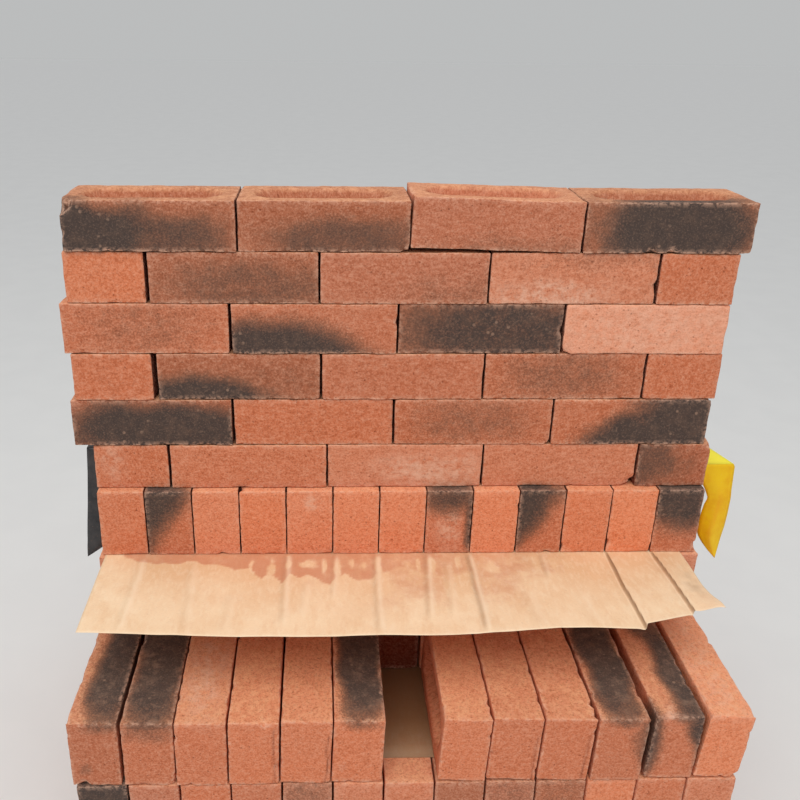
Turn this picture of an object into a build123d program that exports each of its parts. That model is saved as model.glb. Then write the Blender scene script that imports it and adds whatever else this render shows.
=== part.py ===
from build123d import *
import os
import random

# Opened pack of frogged clay bricks with a dry-laid panel standing on it.
# Millimetres, +Z up, front towards -Y. Origin: centre of the footprint, on the ground.

# One brick
BRICK_LENGTH = 215.0
BRICK_WIDTH = 102.5
BRICK_THICKNESS = 65.0
FROG_LENGTH = 178.0
FROG_WIDTH = 66.0
FROG_DEPTH = 18.0
FROG_WALL_ANGLE = 38.0

# The pack: bricks on edge, so a layer is one brick width high
COLUMNS = 13
ROWS = 5
LAYERS = 8
COLUMN_PITCH = 66.5
ROW_PITCH = 217.5
PAPER_THICKNESS = 0.5
LAYERS_BELOW_PAPER = 6
LAYERS_FROGGED_RIGHT = (1, 2, 5, 6)
MISSING_COLUMN = 6
BRICK_DRIFT = 0.8
BRICK_TWIST = 0.1

# Front row of layer 7 as it stands: each brick leans right about its right foot, beside the open slot
FRONT_ROW_RIGHT_FOOT = (-372.5, -302.8, -235.8, -169.9, -103.3, -36.2, None,
                        98.1, 163.8, 231.3, 300.85, 370.3, 431.5)
FRONT_ROW_THICKNESS = (63.0, 66.0, 66.0, 65.0, 65.5, 66.0, None, 62.5, 65.0, 66.0, 65.0, 64.0, 59.0)
FRONT_ROW_LEAN = (0.7, 1.0, 0.8, 1.2, 1.7, 1.6, None, 2.4, 2.5, 2.2, 1.0, 2.5, 4.2)
FRONT_ROW_SETBACK = (1.2, 0.0, -1.5, -1.5, 0.0, 0.5, None, 0.0, 0.5, -1.0, -1.5, 1.0, 0.5)

# Kraft paper sheets
PAPER_WIDTH = 828.0
PAPER_BACK = 501.0
LOWER_PAPER_FRONT = -500.0
TOP_PAPER_SHIFT = -8.5
TOP_PAPER_LEFT_CORNER = -491.0
TOP_PAPER_FRONT = ((-370.0, -493.5), (-217.0, -503.0), (-141.0, -505.0), (80.0, -503.0), (188.0, -491.5),
                   (299.0, -492.0))
TOP_PAPER_PLEATS = ((302.7, -484.4), (368.8, -464.6), (372.5, -460.6))
TOP_PAPER_RIGHT_CORNER = -473.0

# The panel
PANEL_CENTRE = 0.0
PANEL_FRONT = -308.5
HEADER_FRONT = -320.5
HEADER_PITCH = 65.6
HALF_LENGTH = 100.5
COURSE_RISES = (66.2, 67.6, 65.6, 68.2, 67.4, 64.6)

# Left ends of the bricks in each flat course, bottom course first, and how far each sits forward
COURSE_LEFT_ENDS = (
    (-427.0, -322.5, -106.0, 110.5, 327.0),
    (-450.0, -232.5, -15.5, 201.0),
    (-442.0, -331.0, -114.0, 103.0, 319.5),
    (-449.0, -231.0, -14.0, 202.5),
    (-439.0, -333.0, -116.0, 100.5, 317.5),
    (-435.0, -218.6, -3.0, 214.4),
)
COURSE_FORWARD = (
    (0.0, 1.5, 0.0, -1.0, 1.0),
    (1.0, -1.0, 0.5, 1.0),
    (2.0, 0.0, 1.0, -1.0, 0.0),
    (0.0, 1.5, -1.0, 1.0),
    (-1.0, 0.5, 1.0, -0.5, 1.5),
    (2.5, 0.0, 1.5, 3.0),
)
TOP_COURSE_TILTED_BRICK = 2
TOP_COURSE_TILT = 1.6

# Loose plastic strips that lie on the header course behind the panel, with a hanging flap at the outer end
STRIP_THICKNESS = 1.0
STRIP_WIDTH = 40.0
STRIP_BACK = -145.0
STRIP_LYING_LENGTH = 330.0
YELLOW_LYING_END = 494.0
YELLOW_FLAP = (
    (-24, 0), (0, 0), (39, 38), (43, 104), (42, 145), (39, 204),
    (4, 162), (1, 145), (9, 91), (3, 77), (4, 62),
)
BLACK_LYING_END = 470.0
BLACK_FLAP = ((-40, 0), (0, 0), (3, 41), (8, 94), (14, 149), (18, 192), (-6, 173), (-22, 161))

stacking_random = random.Random(13)


def plain_brick(thickness=BRICK_THICKNESS):
    """Brick lying flat, its length along X, its underside at Z = 0."""
    return Box(BRICK_LENGTH, BRICK_WIDTH, thickness, align=(Align.CENTER, Align.CENTER, Align.MIN))


def frogged_brick(thickness=BRICK_THICKNESS):
    """The same brick with the sloping, round-ended hollow in its top bed."""
    mouth = Plane.XY.offset(thickness) * SlotOverall(FROG_LENGTH, FROG_WIDTH)
    return plain_brick(thickness) - extrude(mouth, amount=-FROG_DEPTH, taper=FROG_WALL_ANGLE)


def on_edge(brick, frog_to_right=True):
    """Turn a flat brick onto its long edge: length along Y, frog to the right or to the left."""
    turned = Rotation(0, 90 if frog_to_right else -90, 0) * Rotation(0, 0, 90) * brick
    box = turned.bounding_box()
    return Pos(-(box.min.X + box.max.X) / 2, 0, -box.min.Z) * turned


EDGE_PLAIN = on_edge(plain_brick())
EDGE_FROG_RIGHT = on_edge(frogged_brick(), True)
EDGE_FROG_LEFT = on_edge(frogged_brick(), False)


def column_x(column):
    return (column - (COLUMNS - 1) / 2) * COLUMN_PITCH


def row_y(row):
    return (row - (ROWS - 1) / 2) * ROW_PITCH


def layer_bottom(layer):
    paper = PAPER_THICKNESS if layer > LAYERS_BELOW_PAPER else 0.0
    return (layer - 1) * BRICK_WIDTH + paper


def pack_brick(layer, row, column):
    """One brick of the pack, a little out of line as stacked by the machine."""
    frog_right = layer in LAYERS_FROGGED_RIGHT
    shows_frog = column == COLUMNS - 1 if frog_right else column == 0
    if shows_frog:
        shape = EDGE_FROG_RIGHT if frog_right else EDGE_FROG_LEFT
    else:
        shape = EDGE_PLAIN
    drift_y = stacking_random.uniform(-BRICK_DRIFT, BRICK_DRIFT)
    twist = stacking_random.uniform(-BRICK_TWIST, BRICK_TWIST)
    place = Pos(column_x(column), row_y(row) + drift_y, layer_bottom(layer)) * Rotation(0, 0, twist)
    return place * shape


def front_row_brick(column):
    """A brick of layer 7's front row, leaning about its right foot. An open side shows its frog."""
    thickness = FRONT_ROW_THICKNESS[column]
    shows_frog = column in (0, MISSING_COLUMN + 1)
    flat = frogged_brick(thickness) if shows_frog else plain_brick(thickness)
    foot = Pos(FRONT_ROW_RIGHT_FOOT[column], row_y(0) + FRONT_ROW_SETBACK[column], layer_bottom(7))
    lean = Rotation(0, FRONT_ROW_LEAN[column], 0)
    return foot * lean * Pos(-thickness / 2, 0, 0) * on_edge(flat, False)


def is_hidden(row, column, first_hidden_row):
    return first_hidden_row <= row <= ROWS - 2 and 1 <= column <= COLUMNS - 2


def pack_layer(layer):
    first_row = 1 if layer >= 7 else 0
    first_hidden_row = 2 if layer >= 7 else 1
    bricks = []
    if layer == 7:
        bricks = [front_row_brick(c) for c in range(COLUMNS) if c != MISSING_COLUMN]
    for row in range(first_row, ROWS):
        for column in range(COLUMNS):
            if not is_hidden(row, column, first_hidden_row):
                bricks.append(pack_brick(layer, row, column))
    return Compound(children=bricks)


def hidden_core(first_layer, last_layer, first_row):
    """Plain block in place of the bricks that nothing shows."""
    width = (COLUMNS - 3) * COLUMN_PITCH + BRICK_THICKNESS
    front = row_y(first_row) - BRICK_LENGTH / 2
    back = row_y(ROWS - 2) + BRICK_LENGTH / 2
    bottom = layer_bottom(first_layer)
    height = layer_bottom(last_layer) + BRICK_WIDTH - bottom
    block = Box(width, back - front, height, align=(Align.CENTER, Align.MIN, Align.MIN))
    return Pos(0, front, bottom) * block


def lower_paper():
    length = PAPER_BACK - LOWER_PAPER_FRONT
    sheet = Box(PAPER_WIDTH, length, PAPER_THICKNESS, align=(Align.CENTER, Align.MIN, Align.MIN))
    return Pos(0, LOWER_PAPER_FRONT, LAYERS_BELOW_PAPER * BRICK_WIDTH) * sheet


def top_paper():
    """The sheet on the pack. Its front edge bows out and steps back at the right, where it is pleated."""
    left = TOP_PAPER_SHIFT - PAPER_WIDTH / 2
    right = TOP_PAPER_SHIFT + PAPER_WIDTH / 2
    outline = [(left, PAPER_BACK), (left, TOP_PAPER_LEFT_CORNER)]
    outline += list(TOP_PAPER_FRONT)
    outline += list(TOP_PAPER_PLEATS)
    outline += [(right, TOP_PAPER_RIGHT_CORNER), (right, PAPER_BACK)]
    sheet = make_face(Polyline(*outline, close=True))
    return Pos(0, 0, PACK_TOP) * extrude(sheet, amount=PAPER_THICKNESS)


def header_course():
    """Thirteen bricks on edge, ends to the front: the foot of the panel."""
    first = PANEL_CENTRE - (COLUMNS - 1) / 2 * HEADER_PITCH
    centre_y = HEADER_FRONT + BRICK_LENGTH / 2
    bricks = []
    for i in range(COLUMNS):
        shape = EDGE_FROG_LEFT if i == 0 else EDGE_PLAIN
        bricks.append(Pos(first + i * HEADER_PITCH, centre_y, HEADER_BOTTOM) * shape)
    return Compound(children=bricks)


def course_brick(length, thickness, frogged):
    """A brick of a flat course with its lower left front corner at the origin."""
    if frogged:
        return Pos(length / 2, BRICK_WIDTH / 2, 0) * frogged_brick(thickness)
    return Box(length, BRICK_WIDTH, thickness, align=(Align.MIN, Align.MIN, Align.MIN))


def flat_course(number):
    """A flat course of the panel, counted from the bottom: whole bricks, or halves at both ends."""
    ends = COURSE_LEFT_ENDS[number]
    rise = COURSE_RISES[number]
    top = number == len(COURSE_LEFT_ENDS) - 1
    bottom = COURSES_BOTTOM + sum(COURSE_RISES[:number])
    bricks = []
    for i, left in enumerate(ends):
        half = len(ends) == 5 and i in (0, 4)
        shape = course_brick(HALF_LENGTH if half else BRICK_LENGTH, rise, top)
        if top and i == TOP_COURSE_TILTED_BRICK:
            foot = Pos(BRICK_LENGTH, 0, 0)
            shape = foot * Rotation(0, TOP_COURSE_TILT, 0) * foot.inverse() * shape
        bricks.append(Pos(left, PANEL_FRONT - COURSE_FORWARD[number][i], bottom) * shape)
    return Compound(children=bricks)


def loose_strip(lying_end, flap):
    """Strip lying behind the panel, its flap given by points outward of the lying end and downward."""
    low = COURSES_BOTTOM
    top = low + STRIP_THICKNESS
    front = STRIP_BACK - STRIP_WIDTH
    lying = Box(STRIP_LYING_LENGTH, STRIP_WIDTH, STRIP_THICKNESS, align=(Align.MAX, Align.MIN, Align.MIN))
    lying = Pos(lying_end, front, low) * lying
    hanging = make_face(Polyline(*[(lying_end + outward, top - fall) for outward, fall in flap], close=True))
    return lying + extrude(Plane.XZ.offset(-front) * hanging, amount=STRIP_THICKNESS)


PACK_TOP = layer_bottom(LAYERS) + BRICK_WIDTH
HEADER_BOTTOM = PACK_TOP + PAPER_THICKNESS
COURSES_BOTTOM = HEADER_BOTTOM + BRICK_WIDTH

nodes = {f"pack_layer_{layer}": pack_layer(layer) for layer in range(1, LAYERS + 1)}
nodes["pack_core_lower"] = hidden_core(1, LAYERS_BELOW_PAPER, 1)
nodes["pack_core_upper"] = hidden_core(7, 8, 2)
nodes["paper_sheet_lower"] = lower_paper()
nodes["paper_sheet_top"] = top_paper()
nodes["panel_header_course"] = header_course()
for number in range(len(COURSE_LEFT_ENDS)):
    nodes[f"panel_course_{number + 1}"] = flat_course(number)
nodes["loose_strip_yellow"] = loose_strip(YELLOW_LYING_END, YELLOW_FLAP)
nodes["loose_strip_black"] = mirror(loose_strip(BLACK_LYING_END, BLACK_FLAP), about=Plane.YZ)

os.makedirs("parts", exist_ok=True)
for name, shape in nodes.items():
    export_step(shape, f"parts/{name}.step")
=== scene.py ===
import math
from collections import namedtuple

import bmesh
import bpy
import numpy as np
from mathutils import Matrix, Vector


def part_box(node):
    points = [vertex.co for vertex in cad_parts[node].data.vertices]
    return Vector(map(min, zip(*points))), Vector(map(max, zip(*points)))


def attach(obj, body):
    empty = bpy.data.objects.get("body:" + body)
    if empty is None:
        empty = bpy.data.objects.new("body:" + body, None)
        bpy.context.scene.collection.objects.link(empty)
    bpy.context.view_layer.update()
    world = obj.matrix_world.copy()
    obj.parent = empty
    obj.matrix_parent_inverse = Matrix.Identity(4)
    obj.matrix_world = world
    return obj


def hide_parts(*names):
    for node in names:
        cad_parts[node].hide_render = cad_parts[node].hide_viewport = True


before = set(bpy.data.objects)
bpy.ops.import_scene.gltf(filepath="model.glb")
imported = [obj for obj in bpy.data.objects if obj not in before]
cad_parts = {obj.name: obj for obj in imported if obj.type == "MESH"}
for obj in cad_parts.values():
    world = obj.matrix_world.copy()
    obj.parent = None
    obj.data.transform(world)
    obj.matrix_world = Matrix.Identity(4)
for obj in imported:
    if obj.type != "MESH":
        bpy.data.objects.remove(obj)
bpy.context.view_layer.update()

MM = 0.001
ROOT = "root"


def mm(*values):
    return tuple(value * MM for value in values)


# Lattice cells of the brick meshes along X, Y and Z, in each group of bricks
CELLS_COURSE = mm(5, 10, 5)
CELLS_TOP_COURSE = mm(3.8, 3.8, 4.2)
CELLS_HEADER = mm(4.5, 12, 5)
CELLS_LEDGE = mm(3.6, 8, 4)
CELLS_FRONT = mm(6, 16, 8)
CELL_PACK, CELL_FROG_FACE = mm(19, 6)

# Lattice lines beside an arris, from the face inwards
ARRIS_TICKS = mm(0, 1.2, 3)
SCORED_TICKS = mm(0, 1.2, 3, 5, 7)
COARSE_TICKS = mm(0, 2.2)

# Wear of the bricks; a chip's depth is a share of its size
ARRIS_RADIUS = mm(1.1, 4.4)
ARRIS_BAND, FACE_HOLLOW, GRAIN_DEPTH = mm(5, 0.5, 0.35)
CHIP_SIZES = mm(4, 10)
CHIP_DEPTH = 0.35
BURN_WANDER = 16 * MM

# Score down the front of some bricks: distance from the right arris, wandering, and section
SCORE_INSET, SCORE_WANDER = mm(4.6, 2.2)
SCORE_HALF_WIDTH, SCORE_DEPTH = mm(1.6, 1.2)
SCORE_FADE = 8 * MM
# How far the score's groove is pulled towards the joints' dark colour
SCORE_DARKENING = 0.7

# Joints of the panel: where the ends bulge, by how much two meet, and where the painted joint shade starts
BULGE_IN = mm(12, 22)
BULGE_UP = mm(0.2, 2.5)
BULGE_MEETS, JOINT_SHADE_FROM, COVERED_MARGIN = mm(0.7, 2.5, 4)

# The hollow in a brick's bed
FROG_LENGTH, FROG_WIDTH, FROG_DEPTH = mm(178, 66, 18)
FROG_WALL_RUN = 12 * MM

# Camera, from the fit of the photograph: its axis lies left of the picture's middle
CAMERA_AT = (-0.1157, -1.4049, 1.5357)
CAMERA_PITCH = 0.4115
CAMERA_YAW = -0.0296
CAMERA_ROLL = 0.0108
CAMERA_FOCAL_PIXELS = 891.5
CAMERA_AXIS_LEFT_PIXELS = 55.3
CAMERA_CLIP_START = 0.05
PICTURE_PIXELS = 800
SENSOR_MM = 36


# Value noise on a random lattice

NOISE_SIZE = 64
noise_table = np.random.default_rng(5).random((NOISE_SIZE,) * 3)


def noise(points, per_metre, seed):
    """Smooth noise from 0 to 1 at points, with about per_metre lumps to the metre."""
    q = points * per_metre + np.array((seed * 7.31, seed * 3.17, seed * 5.73))
    low = np.floor(q).astype(int)
    f = q - low
    f = f * f * (3 - 2 * f)
    total = np.zeros(len(points))
    for corner in range(8):
        step = np.array((corner & 1, corner >> 1 & 1, corner >> 2 & 1))
        i, j, k = ((low + step) % NOISE_SIZE).T
        weight = np.prod(np.where(step, f, 1 - f), axis=1)
        total += weight * noise_table[i, j, k]
    return total


def ramp(value, low, high):
    """Smooth step from 0 at low to 1 at high, where high may be the smaller one."""
    t = np.clip((value - low) / (high - low), 0, 1)
    return t * t * (3 - 2 * t)


# Bricks of the frame: each solid of a CAD node, with its axes, size and frog

def read_solids(node):
    """The solids of a node, as lists of corner points and of (normal, area, point) for the faces."""
    bm = bmesh.new()
    bm.from_mesh(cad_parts[node].data)
    bmesh.ops.remove_doubles(bm, verts=bm.verts, dist=0.00001)
    seen = set()
    solids = []
    for start in bm.faces:
        if start in seen:
            continue
        seen.add(start)
        faces = [start]
        for face in faces:
            for edge in face.edges:
                fresh = [other for other in edge.link_faces if other not in seen]
                seen.update(fresh)
                faces += fresh
        points = np.array([v.co[:] for f in faces for v in f.verts])
        planes = [(np.array(f.normal), f.calc_area(), np.array(f.verts[0].co)) for f in faces]
        solids.append((points, planes))
    bm.free()
    return solids


def measure(solid):
    """Axes nearest X, Y and Z, centre, half sizes and the frog's axis and side, or None."""
    points, planes = solid
    axes = []
    for k in range(3):
        total = np.zeros(3)
        for normal, area, _ in planes:
            if abs(normal[k]) > 0.97:
                total += area * normal * np.sign(normal[k])
        for done in axes:
            total -= done * (total @ done)
        axes.append(total / np.linalg.norm(total))
    axes = np.array(axes)
    along = points @ axes.T
    low, high = along.min(axis=0), along.max(axis=0)
    frog = None
    for normal, area, point in planes:
        facing = axes @ normal
        k = int(np.argmax(np.abs(facing)))
        depth = min(abs(point @ axes[k] - low[k]), abs(high[k] - point @ axes[k]))
        if abs(facing[k]) > 0.999 and depth > FROG_DEPTH / 2:
            frog = (k, int(np.sign(facing[k])))
    return {"axes": axes, "centre": (low + high) / 2 @ axes, "half": (high - low) / 2, "frog": frog}


def bricks_of(node):
    """Measured bricks of a node, from front to back by rows and from left to right in each."""
    found = [measure(s) for s in read_solids(node)]
    return sorted(found, key=lambda b: (round(b["centre"][1] / 0.1), b["centre"][0]))


# Lattice on the surface of a box

def quads_over(number):
    """Quads over a grid of point numbers."""
    ring = (number[:-1, :-1], number[1:, :-1], number[1:, 1:], number[:-1, 1:])
    return np.stack(ring, axis=-1).reshape(-1, 4)


def grid_quads(rows, columns):
    return quads_over(np.arange(rows * columns).reshape(rows, columns))


shells = {}


def shell(cells):
    """Lattice points and outward quads on the surface of a block of cells, kept for reuse."""
    if cells in shells:
        return shells[cells]
    n = np.array(cells)
    grid = np.stack(np.meshgrid(*[np.arange(c + 1) for c in cells], indexing="ij"), axis=-1)
    outer = ((grid == 0) | (grid == n)).any(axis=-1)
    number = np.full(outer.shape, -1)
    number[outer] = np.arange(outer.sum())
    quads = []
    for axis in range(3):
        for side in (0, cells[axis]):
            sheet = quads_over(np.take(number, side, axis=axis))
            forward = (side > 0) != (axis == 1)
            quads.append(sheet if forward else sheet[:, ::-1])
    shells[cells] = (grid[outer], np.concatenate(quads))
    return shells[cells]


def spaced(half, cell, near):
    """Positions from -half to half, close together at both ends where the arris is rounded."""
    near = np.array(near)
    last = near[-1] + min(cell, 3 * (near[-1] - near[-2]))
    inner = np.linspace(-half + last, half - last, max(3, round(2 * (half - last) / cell) + 1))
    return np.concatenate((-half + near, inner, (half - near)[::-1]))


def on_face(points, half, axis, side):
    """Which lattice points lie on one face of the brick's box."""
    return points[:, axis] * side > half[axis] - MM / 10


def frog_depth(points, half, axis, side):
    """How deep the hollow is at each point of the frogged face."""
    length = int(np.argmax(half))
    across = 3 - axis - length
    straight = (FROG_LENGTH - FROG_WIDTH) / 2
    run = np.maximum(np.abs(points[:, length]) - straight, 0)
    inside = (FROG_WIDTH / 2 - np.hypot(run, points[:, across])) / FROG_WALL_RUN
    depth = ramp(inside, -0.08, 1) * 0.35 + np.clip(inside, 0, 1) * 0.65
    return np.where(on_face(points, half, axis, side), depth * FROG_DEPTH, 0)


def blob(points, half, centre, radius, power):
    """1 in the middle of a spot in the brick's own box from -1 to 1, falling to 0 around it."""
    away = np.abs((points / half - np.array(centre)) / np.array(radius))
    return np.clip(1.35 - (away ** power).sum(axis=1) ** (1 / power), 0, 1)


def spotted(points, half, spots):
    """How burnt or how pale each point is: the strongest of the spots there."""
    total = np.zeros(len(points))
    for centre, reach, strength, power in spots:
        total = np.maximum(total, strength * ramp(blob(points, half, centre, reach, power), 0, 1))
    return total


def worn(p, half, seed):
    """The lattice with rounded arrises and uneven faces, and how near each point is to an arris."""
    wear = ramp(noise(p, 38, seed + 1) * 0.65 + noise(p, 95, seed + 9) * 0.35, 0.38, 0.86)
    radius = (ARRIS_RADIUS[0] + (ARRIS_RADIUS[1] - ARRIS_RADIUS[0]) * wear)[:, None]
    inner = np.clip(p, -(half - radius), half - radius)
    out = p - inner
    out /= np.linalg.norm(out, axis=1)[:, None] + 1e-9
    near_face = np.sort((np.abs(p) - half) / ARRIS_BAND + 1, axis=1)
    arris = np.clip(near_face[:, 1], 0, 1)
    placed = inner + out * radius
    placed -= out * (FACE_HOLLOW * ramp(noise(p, 26, seed), 0.2, 0.9) * (1 - 0.6 * arris))[:, None]
    placed -= out * (GRAIN_DEPTH * (1 + 2 * arris) * noise(p, 120, seed + 2))[:, None]
    return placed, arris


def random_chips(count, rng):
    """Chips along the arrises: places in the brick's box from -1 to 1, and sizes."""
    chips = []
    for _ in range(count):
        where = rng.choice((-1, 1), 3).astype(float)
        where[rng.integers(3)] *= rng.uniform(-1, 1)
        chips.append((where, rng.uniform(*CHIP_SIZES)))
    return chips


def brick_mesh(brick, cells, look, rng, near, bulges=(0, 0), joints=()):
    """Worn brick as a part: points, quads, clay colours, marks and local coordinates.

    Joints are faces with painted shade on them: axis, side, and the x where that shade starts and ends. The
    marks are how burnt, how much painted shade, how worn at the arris and how pale each point is.
    """
    half = brick["half"]
    ticks = [spaced(h, c, near) for h, c in zip(half, cells)]
    lattice, quads = shell(tuple(len(t) - 1 for t in ticks))
    p = np.stack([ticks[k][lattice[:, k]] for k in range(3)], axis=1)
    seed = rng.random() * 50
    placed, arris = worn(p, half, seed)
    for where, size in list(look.corners) + random_chips(look.chips, rng):
        reach = np.clip(1 - np.linalg.norm(p - half * np.array(where), axis=1) / size, 0, 1)
        bite = reach * size * CHIP_DEPTH * (0.6 + 0.8 * noise(p, 160, seed + 3))
        placed -= np.sign(p) * bite[:, None]
        arris = np.maximum(arris, ramp(reach, 0, 0.3))
    # Painted shade in the frog: darker with depth, and in a side frog darkest on the upper wall
    shade = np.zeros(len(p))
    if brick["frog"]:
        axis, side = brick["frog"]
        hollow = frog_depth(p, half, axis, side)
        deep = hollow / FROG_DEPTH
        if axis == 2:
            shade = 0.12 * deep
        else:
            shade = 0.35 * deep + 2 * deep * (1 - deep) * (1 + np.sign(p[:, 2]))
        placed[:, axis] -= side * hollow * (0.97 + 0.06 * noise(p, 60, seed + 4))
    middle = ramp(half[1] - np.abs(p[:, 1]), *BULGE_IN) * ramp(half[2] - np.abs(p[:, 2]), *BULGE_UP)
    for side, bulge in zip((-1, 1), bulges):
        placed[:, 0] += side * bulge * middle * on_face(p, half, 0, side)
    wander = np.stack([noise(p, 22, seed + k) for k in (5, 6, 7)], axis=1) - 0.5
    warped = p + wander * BURN_WANDER
    burnt = spotted(warped, half, look.burns)
    pale = spotted(warped, half, look.pales)
    joint_shade_and_score_dark = np.zeros(len(p))
    if look.score:
        inset = SCORE_INSET + SCORE_WANDER * noise(p * np.array((0, 0, 1)), 40, seed + 8)
        away = np.abs(p[:, 0] - (half[0] - inset))
        notch = np.clip(1 - away / SCORE_HALF_WIDTH, 0, 1) * on_face(p, half, 1, -1)
        notch *= ramp(half[2] * look.score - p[:, 2], 0, SCORE_FADE)
        placed[:, 1] += notch * SCORE_DEPTH
        joint_shade_and_score_dark = SCORE_DARKENING * notch
    up, back = p[:, 2] + half[2], p[:, 1] + half[1]
    lower_front = ramp(up, 5 * MM, 1 * MM) * ramp(back, 9 * MM, 2 * MM)
    arris = arris * (0.75 + 0.6 * lower_front)
    across = p[:, 0] + brick["centre"][0]
    # Painted shade on the faces inside the joints, from a little behind the front arris
    for axis, side, low, high in joints:
        in_joint_shade = on_face(p, half, axis, side) & (back > JOINT_SHADE_FROM) & (across > low) & (across < high)
        joint_shade_and_score_dark = np.where(in_joint_shade, 1, joint_shade_and_score_dark)
        burnt = np.where(in_joint_shade, 0, burnt)
        arris = np.where(in_joint_shade, 0, arris)
    # The clay is pulled towards the joints' dark colour: painted shade in the joints, darkening in the score
    clay = np.tile(look.clay, (len(p), 1))
    clay += joint_shade_and_score_dark[:, None] * (np.array(JOINT_PAINTED_SHADE) - clay)
    marks = np.stack((burnt, shade, arris, pale), axis=1)
    order = np.argsort(-half)
    local = p[:, order] + np.array((seed, seed * 0.37, seed * 0.73))
    world = placed @ brick["axes"] + brick["centre"]
    return world, quads, clay, marks, local


# Where a part holds its clay colours and marks, and which mark is the painted shade
CLAY, MARKS, SHADE = 2, 3, 1


def make_piece(name, node, material, parts, skin=0, offset=0):
    """One smooth visible piece in place of a node of the frame, perhaps thickened by a skin.

    Its parts are points, quads, clay colours, marks and local coordinates.
    """
    points, quads, clay, marks, local = zip(*parts)
    starts = np.cumsum([0] + [len(p) for p in points[:-1]])
    points = np.concatenate(points)
    quads = np.concatenate([q + start for q, start in zip(quads, starts)])
    mesh = bpy.data.meshes.new(name)
    mesh.vertices.add(len(points))
    mesh.vertices.foreach_set("co", points.ravel())
    mesh.loops.add(quads.size)
    mesh.loops.foreach_set("vertex_index", quads.ravel())
    mesh.polygons.add(len(quads))
    mesh.polygons.foreach_set("loop_start", np.arange(len(quads)) * 4)
    mesh.polygons.foreach_set("use_smooth", np.full(len(quads), True))
    mesh.update(calc_edges=True)
    for attribute, colours in (("clay", clay), ("look", marks)):
        layer = mesh.attributes.new(attribute, "FLOAT_COLOR", "POINT")
        layer.data.foreach_set("color", np.concatenate(colours).ravel())
    layer = mesh.attributes.new("local", "FLOAT_VECTOR", "POINT")
    layer.data.foreach_set("vector", np.concatenate(local).ravel())
    mesh.validate()
    mesh.materials.append(material)
    piece = bpy.data.objects.new(name, mesh)
    bpy.context.collection.objects.link(piece)
    if skin:
        modifier = piece.modifiers.new("skin", "SOLIDIFY")
        modifier.thickness = skin
        modifier.offset = offset
    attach(piece, ROOT)
    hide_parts(node)
    return piece


# How each brick looks: clay colour, and burnt and pale spots in its own box, x right, y back, z up, -1 to 1

def tint(red, green, blue):
    """Linear colour, with alpha, of a picture colour given from 0 to 255."""
    values = [v / 255 for v in (red, green, blue)]
    return (*(v / 12.92 if v <= 0.04045 else ((v + 0.055) / 1.055) ** 2.4 for v in values), 1)


def mixed(a, b, share):
    return tuple(p + (q - p) * share for p, q in zip(a, b))


PALE = tint(246, 170, 138)
PINK = tint(224, 145, 112)
DUSKY = tint(203, 127, 97)
ORANGE = tint(217, 129, 92)
BRIGHT = tint(240, 146, 104)
BROWN = tint(186, 114, 84)
RUST = tint(190, 106, 72)
BRIGHT_ORANGE = mixed(ORANGE, BRIGHT, 0.3)
DUSKY_ORANGE = mixed(ORANGE, DUSKY, 0.6)
DULL_ORANGE = mixed(ORANGE, DUSKY, 0.4)
TAN_ORANGE = mixed(ORANGE, BROWN, 0.3)
BROWN_ORANGE = mixed(ORANGE, BROWN, 0.4)
# Painted shade: the colour of the faces inside the joints
JOINT_PAINTED_SHADE = tint(112, 54, 38)
# Painted shade: darker clay for the brick at the back of the slot, which stands in shade
SLOT_BACK_PAINTED_SHADE = tint(142, 66, 40)
COURSE_TONE = (0.91, 0.88, 0.85, 1)


# Clay colour, burnt and pale spots, number of random chips, chips of its own, and how high its score goes
Look = namedtuple("Look", "clay burns pales chips corners score", defaults=((), (), 1, (), 0))


def spot(x, z, rx, ry, rz, strength, power=2.4, y=-1):
    """A burnt or pale spot on the front, or at another y: centre, reach, strength, and its shape from 1,
    slanting, to 4, square."""
    return ((x, y, z), (rx, ry, rz), strength, power)


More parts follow.
